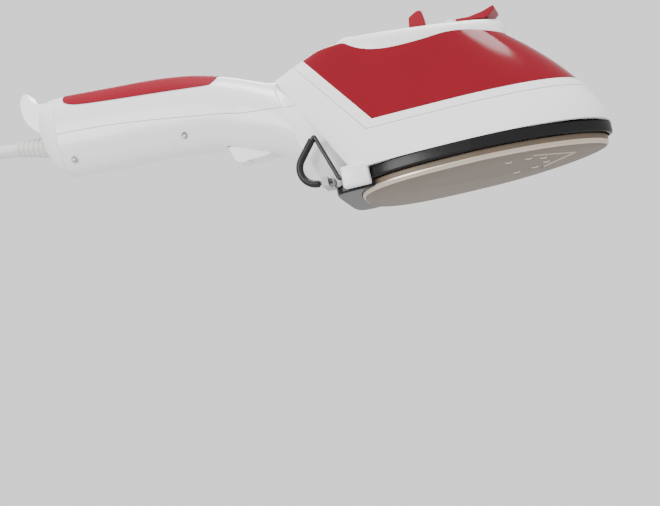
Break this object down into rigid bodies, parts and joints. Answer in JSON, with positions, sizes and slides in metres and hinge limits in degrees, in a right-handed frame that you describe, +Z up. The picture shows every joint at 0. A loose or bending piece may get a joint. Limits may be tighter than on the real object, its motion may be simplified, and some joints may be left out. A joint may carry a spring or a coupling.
{
  "type": "garment steamer",
  "caption": "Hand-held garment steamer with a steam head, clear water tank, hinged wire loop, pump trigger, steam knob, filler lid and mains lead with plug.",
  "frame": {"origin": "centre of the flat sole face, where the steam holes open", "axes": "+X from the handle towards the nose, +Z up from the sole into the head, +Y to the left of a user looking along +X"},
  "size_m": [0.4559, 0.0999, 0.1044],
  "materials": {
    "plate": "coated, satin",
    "cast_metal": "cast",
    "steel": "plain",
    "silicone": "soft",
    "ceramic": "matt",
    "black_plastic": "gloss",
    "white_plastic": "gloss",
    "grey_plastic": "satin",
    "red_plastic": "satin",
    "clear_red": "translucent gloss",
    "black_rubber": "satin",
    "lead_wire": "matt",
    "lead_cover": "satin",
    "tie_strap": "woven",
    "plug_plastic": "satin",
    "pin_metal": "plated"
  },
  "bodies": {
    "body": {"soleplate": "plate", "steam_block": "cast_metal", "heating_element": "steel", "chamber_seal": "silicone", "chamber_cover": "steel", "thermostat": "steel", "thermal_fuse": "ceramic", "sole_screws": "steel", "heat_shield_skirt": "black_plastic", "head_housing": "white_plastic", "loop_lug": "grey_plastic", "tank_frame": "white_plastic", "water_tank": "clear_red", "spine_cover": "white_plastic", "release_spring": "steel", "valve_seat": "black_rubber", "inlet_neck": "white_plastic", "lid_pin": "steel", "handle_upper_shell": "white_plastic", "handle_lower_shell": "white_plastic", "grip_inlay": "red_plastic", "end_cap": "white_plastic", "trigger_pin": "steel", "pump_body": "white_plastic", "pump_spring": "steel", "suction_tube": "silicone", "delivery_tube": "silicone", "terminal_block": "ceramic", "cord_clamp": "grey_plastic", "clamp_screws": "steel", "handle_screws": "steel", "internal_leads": "lead_wire", "strain_relief": "lead_cover", "power_cord": "lead_cover", "cord_coil": "lead_cover", "coil_tie": "tie_strap", "plug_body": "plug_plastic", "plug_pins": "pin_metal"},
    "trigger": {"trigger": "white_plastic"},
    "pump_piston": {"pump_piston": "grey_plastic"},
    "steam_knob": {"steam_knob": "red_plastic", "valve_rod": "white_plastic"},
    "inlet_lid": {"inlet_lid": "red_plastic", "lid_seal": "black_rubber"},
    "wire_loop": {"wire_loop": "steel", "loop_sleeve": "black_rubber"},
    "release_button": {"release_button": "white_plastic"}
  },
  "joints": [
    {"name": "trigger_press", "type": "hinge", "parent": "body", "child": "trigger", "pos_m": [-0.1055, 0, 0.042], "axis": [0, 1, 0], "range_deg": [0, 8], "stiffness_Nm_per_rad": 0.4, "springref_deg": -5.73},
    {"name": "pump_stroke", "type": "slide", "parent": "body", "child": "pump_piston", "axis": [0, 0, 1], "range_m": [0, 0.00204], "deforming": ["pump_spring"]},
    {"name": "steam_knob_turn", "type": "hinge", "parent": "body", "child": "steam_knob", "pos_m": [-0.02, 0, 0.083], "axis": [0, 0, 1], "range_deg": [0, 90]},
    {"name": "lid_hinge", "type": "hinge", "parent": "body", "child": "inlet_lid", "pos_m": [-0.0024, 0, 0.08229], "axis": [0, -1, 0], "range_deg": [0, 100]},
    {"name": "loop_swing", "type": "hinge", "parent": "body", "child": "wire_loop", "pos_m": [-0.075, -0.0284, 0.009], "axis": [1, 0, 0], "range_deg": [0, 95]},
    {"name": "tank_release", "type": "slide", "parent": "body", "child": "release_button", "axis": [0, 0, -1], "range_m": [0, 0.0012], "stiffness_N_per_m": 800, "springref_m": -0.001, "deforming": ["release_spring"]}
  ],
  "couplings": [
    {"joint": "pump_stroke", "follows": "trigger_press", "m_per_rad": 0.0145}
  ]
}
